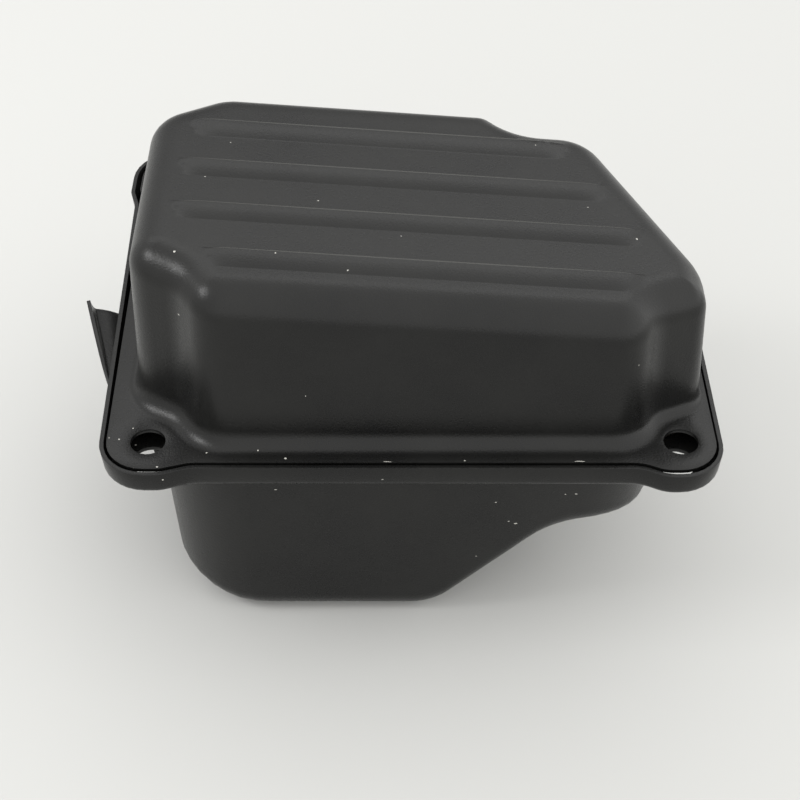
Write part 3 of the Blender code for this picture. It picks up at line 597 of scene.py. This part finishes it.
def noise(tree, coords, scale, detail, roughness=0.5):
    node = tree.nodes.new("ShaderNodeTexNoise")
    node.inputs["Scale"].default_value = scale
    node.inputs["Detail"].default_value = detail
    node.inputs["Roughness"].default_value = roughness
    tree.links.new(coords, node.inputs["Vector"])
    return node.outputs["Fac"]


def remap(tree, value, low, high, to_low, to_high):
    node = tree.nodes.new("ShaderNodeMapRange")
    node.inputs["From Min"].default_value = low
    node.inputs["From Max"].default_value = high
    node.inputs["To Min"].default_value = to_low
    node.inputs["To Max"].default_value = to_high
    tree.links.new(value, node.inputs["Value"])
    return node.outputs["Result"]


def blend_colour(tree, factor, first, second):
    node = tree.nodes.new("ShaderNodeMix")
    node.data_type = "RGBA"
    for name, value in (("Factor", factor), ("A", first), ("B", second)):
        socket = next(s for s in node.inputs
                      if s.name == name and s.type == ("VALUE" if name == "Factor" else "RGBA"))
        if isinstance(value, (tuple, list)):
            socket.default_value = (*value, 1.0)
        else:
            tree.links.new(value, socket)
    return next(s for s in node.outputs if s.type == "RGBA")


def math_node(tree, operation, first, second):
    node = tree.nodes.new("ShaderNodeMath")
    node.operation = operation
    for socket, value in zip(node.inputs, (first, second)):
        if isinstance(value, float):
            socket.default_value = value
        else:
            tree.links.new(value, socket)
    return node.outputs["Value"]


def vector_node(tree, operation, first, second):
    """Vector sum, difference or product; second is a socket or three numbers."""
    node = tree.nodes.new("ShaderNodeVectorMath")
    node.operation = operation
    tree.links.new(first, node.inputs[0])
    if isinstance(second, bpy.types.NodeSocket):
        tree.links.new(second, node.inputs[1])
    else:
        node.inputs[1].default_value = second
    return node.outputs["Vector"]


def length_of(tree, vector):
    node = tree.nodes.new("ShaderNodeVectorMath")
    node.operation = "LENGTH"
    tree.links.new(vector, node.inputs[0])
    return node.outputs["Value"]


def bump(tree, shader, height, distance):
    node = tree.nodes.new("ShaderNodeBump")
    node.inputs["Distance"].default_value = distance
    node.inputs["Strength"].default_value = 1.0
    tree.links.new(height, node.inputs["Height"])
    tree.links.new(node.outputs["Normal"], shader.inputs["Normal"])


def spots_mask(tree, coords, spots, flat_axis, shrunk=1.0):
    """1 inside ellipses listed as (x, across, length, width); they reach along flat_axis without
    end.
    """
    inside = 0.0
    for x, across, length, width in spots:
        centre = place(x, across) if flat_axis == 2 else place(x, 0.0, across)
        offset = vector_node(tree, "SUBTRACT", coords, centre)
        along = 2.0 * shrunk / (length * MM)
        aside = 2.0 * shrunk / (width * MM)
        scale = [along, aside, aside]
        scale[flat_axis] = 0.0
        distance = length_of(tree, vector_node(tree, "MULTIPLY", offset, scale))
        spot = math_node(tree, "LESS_THAN", distance, 1.0)
        inside = math_node(tree, "MAXIMUM", spot, inside)
    return inside


def ragged(tree, coords):
    """Coordinates shaken about, for spots with ragged edges."""
    warp = tree.nodes.new("ShaderNodeTexNoise")
    warp.inputs["Scale"].default_value = CHIP_RAGGEDNESS
    tree.links.new(coords, warp.inputs["Vector"])
    shift = vector_node(tree, "SUBTRACT", warp.outputs["Color"], (0.5, 0.5, 0.5))
    shift = vector_node(tree, "MULTIPLY", shift, (CHIP_WARP * MM,) * 3)
    return vector_node(tree, "ADD", coords, shift)


def chip_mask(tree, coords):
    """1 inside the listed chips of the paint, 0 elsewhere."""
    normal = separate(tree, tree.nodes.new("ShaderNodeNewGeometry").outputs["True Normal"])
    facing_up = math_node(tree, "GREATER_THAN", normal["Z"], 0.5)
    facing_front = math_node(tree, "LESS_THAN", normal["Y"], -0.5)
    shaken = ragged(tree, coords)
    above = spots_mask(tree, shaken, CHIPS_ABOVE, 2, CHIP_SHRINK)
    front = spots_mask(tree, shaken, CHIPS_FRONT, 1, CHIP_SHRINK)
    above = math_node(tree, "MULTIPLY", above, facing_up)
    front = math_node(tree, "MULTIPLY", front, facing_front)
    return math_node(tree, "MAXIMUM", above, front)


def rib_crest_highlight(tree, coords):
    """1 along the crests of the cover's ribs, where a highlight is painted."""
    lines = []
    for middle, left, right, width, _ in RIBS:
        crest = middle + width * (0.5 - RIB_CREST)
        lines.append(((left + right) / 2, crest, right - left - RIB_HIGHLIGHT_ENDS, RIB_HIGHLIGHT_WIDTH))
    high = math_node(tree, "GREATER_THAN", separate(tree, coords)["Z"], HIGHLIGHT_ABOVE * MM)
    return math_node(tree, "MULTIPLY", spots_mask(tree, coords, lines, 2), high)


def heat_paint():
    """Satin black heat paint: fine grain, faint dusty clouds, painted highlights on the ribs'
    crests and pale chips.
    """
    material, tree, shader = new_material("black_heat_paint")
    coords = object_coordinates(tree)
    grain = noise(tree, coords, 2600.0, 3.0)
    clouds = noise(tree, coords, 45.0, 4.0, 0.6)
    dust = remap(tree, clouds, 0.3, 0.7, 0.0, 1.0)
    colour = blend_colour(tree, dust, PAINT_DARK, PAINT_DUSTY)
    # painted highlight along the ribs' crests
    colour = blend_colour(tree, rib_crest_highlight(tree, coords), colour, PAINT_CREST_HIGHLIGHT)
    colour = blend_colour(tree, chip_mask(tree, coords), colour, PAINT_CHIPPED)
    tree.links.new(colour, shader.inputs["Base Color"])
    rough = remap(tree, grain, 0.3, 0.7, *PAINT_ROUGHNESS)
    dust_rough = remap(tree, clouds, 0.3, 0.7, 0.0, PAINT_DUST_ROUGHNESS)
    tree.links.new(math_node(tree, "ADD", rough, dust_rough), shader.inputs["Roughness"])
    shader.inputs["Specular IOR Level"].default_value = PAINT_SPECULAR
    bump(tree, shader, grain, PAINT_GRAIN)
    return material


def steel(name, colour, rough, soot=0.25):
    """Bare or zinc-coated steel, with patches up to soot darker than its colour."""
    material, tree, shader = new_material(name)
    coords = object_coordinates(tree)
    grain = noise(tree, coords, 900.0, 4.0)
    clouds = remap(tree, noise(tree, coords, 60.0, 4.0, 0.6), 0.35, 0.65, 0.0, 1.0)
    darker = tuple(channel * (1.0 - soot) for channel in colour)
    tree.links.new(blend_colour(tree, clouds, darker, colour), shader.inputs["Base Color"])
    tree.links.new(remap(tree, grain, 0.3, 0.7, rough - 0.08, rough + 0.08),
                   shader.inputs["Roughness"])
    shader.inputs["Metallic"].default_value = 1.0
    bump(tree, shader, grain, STEEL_GRAIN)
    return material


def pressed_fibre():
    """Matt grey seal fibre with fine pits."""
    material, tree, shader = new_material("seal_fibre")
    grain = noise(tree, object_coordinates(tree), 1500.0, 4.0, 0.7)
    colour = blend_colour(tree, grain, FIBRE_DARK, FIBRE_LIGHT)
    tree.links.new(colour, shader.inputs["Base Color"])
    shader.inputs["Roughness"].default_value = 0.92
    bump(tree, shader, grain, FIBRE_GRAIN)
    return material


# ---- stage --------------------------------------------------------------------------------
def add_floor():
    bm = bmesh.new()
    bmesh.ops.create_grid(bm, x_segments=1, y_segments=1, size=FLOOR_HALF)
    mesh = bpy.data.meshes.new("floor")
    bm.to_mesh(mesh)
    bm.free()
    floor = bpy.data.objects.new("floor", mesh)
    bpy.context.scene.collection.objects.link(floor)
    material, _, shader = new_material("pale_floor")
    shader.inputs["Base Color"].default_value = (*FLOOR_COLOUR, 1.0)
    shader.inputs["Roughness"].default_value = 0.6
    shader.inputs["Specular IOR Level"].default_value = 0.2
    mesh.materials.append(material)


def add_area(name, location, target, size, power):
    light = bpy.data.lights.new(name, "AREA")
    light.shape = "RECTANGLE"
    light.size, light.size_y = size
    light.energy = power
    lamp = bpy.data.objects.new(name, light)
    lamp.location = location
    lamp.rotation_euler = (Vector(target) - Vector(location)).to_track_quat("-Z", "Y").to_euler()
    bpy.context.scene.collection.objects.link(lamp)


def add_world():
    """Studio light from all round: dim low down behind the object, brighter on the right."""
    world = bpy.data.worlds.new("studio")
    bpy.context.scene.world = world
    world.use_nodes = True
    tree = world.node_tree
    direction = separate(tree, tree.nodes.new("ShaderNodeTexCoord").outputs["Generated"])
    depth = remap(tree, direction["Y"], *SKY_FADE, SKY_FRONT, SKY_BACK)
    side = remap(tree, direction["X"], -1.0, 1.0, SKY_LEFT, SKY_RIGHT)
    background = tree.nodes["Background"]
    background.inputs["Color"].default_value = (*SKY_COLOUR, 1.0)
    tree.links.new(math_node(tree, "MULTIPLY", depth, side), background.inputs["Strength"])


def add_camera():
    data = bpy.data.cameras.new("camera")
    data.lens = CAMERA_LENS
    data.sensor_width = 36.0
    data.clip_start = 0.01
    camera = bpy.data.objects.new("camera", data)
    camera.location = place(*CAMERA_PLAN)
    camera.rotation_euler = (math.radians(CAMERA_TILT), 0.0, 0.0)
    bpy.context.scene.collection.objects.link(camera)
    bpy.context.scene.camera = camera


# ---- build --------------------------------------------------------------------------------
def replace_pressed_pieces():
    """The two shells and the deflector in full detail, in place of their CAD nodes."""
    paint = heat_paint()
    for make, body, node in ((make_cover, "cover", COVER_NODE),
                             (make_rear_shell, "root", REAR_NODE),
                             (make_deflector, "root", DEFLECTOR_NODE)):
        piece = make()
        piece.data.materials.clear()
        piece.data.materials.append(paint)
        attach(piece, body)
        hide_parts(node)


def finish_other_nodes(nodes):
    """Materials of the CAD nodes whose shapes stay."""
    sooty = steel("sooty_steel", SOOTY_STEEL, 0.48, soot=0.6)
    zinc = steel("zinc", ZINC, 0.36)
    mesh_steel = steel("mesh_steel", MESH_STEEL, 0.38, soot=0.5)
    special = {"cover_seal": pressed_fibre(), "spark_screen": mesh_steel,
               "screen_frame": mesh_steel}
    for name, node in nodes.items():
        if name in (COVER_NODE, REAR_NODE, DEFLECTOR_NODE):
            continue
        usual = zinc if name.startswith(FASTENERS) else sooty
        node.data.materials.clear()
        node.data.materials.append(special.get(name, usual))


bpy.context.scene.view_settings.view_transform = "Standard"
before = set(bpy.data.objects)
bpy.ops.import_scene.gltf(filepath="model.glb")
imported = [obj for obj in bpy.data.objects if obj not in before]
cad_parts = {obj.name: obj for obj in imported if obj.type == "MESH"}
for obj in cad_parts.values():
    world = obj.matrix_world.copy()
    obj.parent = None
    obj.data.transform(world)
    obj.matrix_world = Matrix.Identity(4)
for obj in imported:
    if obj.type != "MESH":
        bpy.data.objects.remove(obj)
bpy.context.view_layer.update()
add_camera()
add_floor()
add_world()
add_area("key", *KEY)
add_area("strip", *STRIP)
replace_pressed_pieces()
finish_other_nodes(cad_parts)
